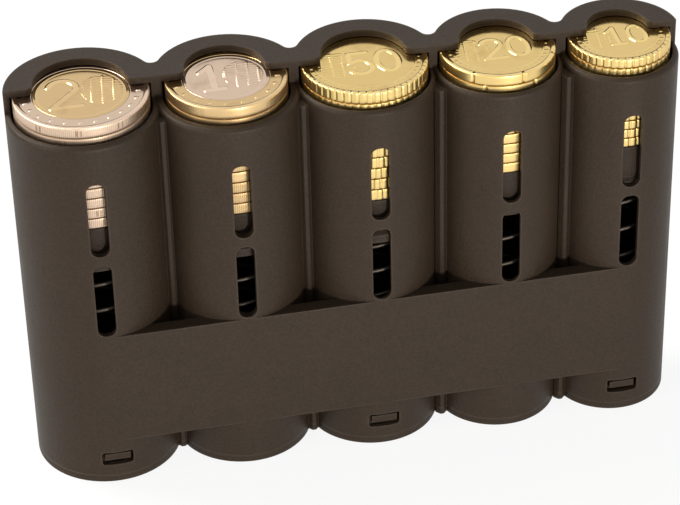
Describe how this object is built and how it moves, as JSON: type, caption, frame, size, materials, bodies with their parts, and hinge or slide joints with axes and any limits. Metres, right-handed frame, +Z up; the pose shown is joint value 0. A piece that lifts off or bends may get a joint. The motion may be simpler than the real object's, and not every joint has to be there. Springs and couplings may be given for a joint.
{
  "type": "spring-loaded coin dispenser",
  "caption": "Hand-held coin dispenser: sprung tubes side by side, each holding a stack of coins under a lip so the top coin can be thumbed out.",
  "frame": {"origin": "middle of the footprint's bounding box, on the face it stands on", "axes": "+X from the widest tube to the narrowest, +Y to the back, +Z up; the flat panel and the sight slots face -Y"},
  "size_m": [0.1292, 0.029, 0.0828],
  "materials": {
    "housing_plastic": "satin, fine moulded grain",
    "cover_plastic": "satin, fine moulded grain",
    "pusher_plastic": "satin",
    "spring_steel": "drawn wire",
    "silver_coin_alloy": "struck metal, lightly worn",
    "gold_coin_alloy": "struck metal, lightly worn"
  },
  "bodies": {
    "housing": {"housing": "housing_plastic", "base_cover": "cover_plastic", "spring_1": "spring_steel", "spring_2": "spring_steel", "spring_3": "spring_steel", "spring_4": "spring_steel", "spring_5": "spring_steel"},
    "carriage_1": {"pusher_1": "pusher_plastic", "coin_stack_1": "silver_coin_alloy"},
    "coin_1": {"top_coin_1_ring": "silver_coin_alloy", "top_coin_1_core": "gold_coin_alloy"},
    "carriage_2": {"pusher_2": "pusher_plastic", "coin_stack_2": "gold_coin_alloy"},
    "coin_2": {"top_coin_2_ring": "gold_coin_alloy", "top_coin_2_core": "silver_coin_alloy"},
    "carriage_3": {"pusher_3": "pusher_plastic", "coin_stack_3": "gold_coin_alloy"},
    "coin_3": {"top_coin_3": "gold_coin_alloy"},
    "carriage_4": {"pusher_4": "pusher_plastic", "coin_stack_4": "gold_coin_alloy"},
    "coin_4": {"top_coin_4": "gold_coin_alloy"},
    "carriage_5": {"pusher_5": "pusher_plastic", "coin_stack_5": "gold_coin_alloy"},
    "coin_5": {"top_coin_5": "gold_coin_alloy"}
  },
  "joints": [
    {"name": "pusher_slide_1", "type": "slide", "parent": "housing", "child": "carriage_1", "axis": [0, 0, 1], "range_m": [-0.0416, 0], "stiffness_N_per_m": 120, "springref_m": 0.02, "deforming": ["spring_1"]},
    {"name": "coin_slide_1", "type": "slide", "parent": "carriage_1", "child": "coin_1", "axis": [0, -1, 0], "range_m": [0, 0.0133]},
    {"name": "pusher_slide_2", "type": "slide", "parent": "housing", "child": "carriage_2", "axis": [0, 0, 1], "range_m": [-0.0403, 0], "stiffness_N_per_m": 120, "springref_m": 0.02, "deforming": ["spring_2"]},
    {"name": "coin_slide_2", "type": "slide", "parent": "carriage_2", "child": "coin_2", "axis": [0, -1, 0], "range_m": [0, 0.0121]},
    {"name": "pusher_slide_3", "type": "slide", "parent": "housing", "child": "carriage_3", "axis": [0, 0, 1], "range_m": [-0.0398, 0], "stiffness_N_per_m": 120, "springref_m": 0.02, "deforming": ["spring_3"]},
    {"name": "coin_slide_3", "type": "slide", "parent": "carriage_3", "child": "coin_3", "axis": [0, -1, 0], "range_m": [0, 0.0126]},
    {"name": "pusher_slide_4", "type": "slide", "parent": "housing", "child": "carriage_4", "axis": [0, 0, 1], "range_m": [-0.0422, 0], "stiffness_N_per_m": 120, "springref_m": 0.02, "deforming": ["spring_4"]},
    {"name": "coin_slide_4", "type": "slide", "parent": "carriage_4", "child": "coin_4", "axis": [0, -1, 0], "range_m": [0, 0.0116]},
    {"name": "pusher_slide_5", "type": "slide", "parent": "housing", "child": "carriage_5", "axis": [0, 0, 1], "range_m": [-0.0443, 0], "stiffness_N_per_m": 120, "springref_m": 0.02, "deforming": ["spring_5"]},
    {"name": "coin_slide_5", "type": "slide", "parent": "carriage_5", "child": "coin_5", "axis": [0, -1, 0], "range_m": [0, 0.0103]}
  ]
}
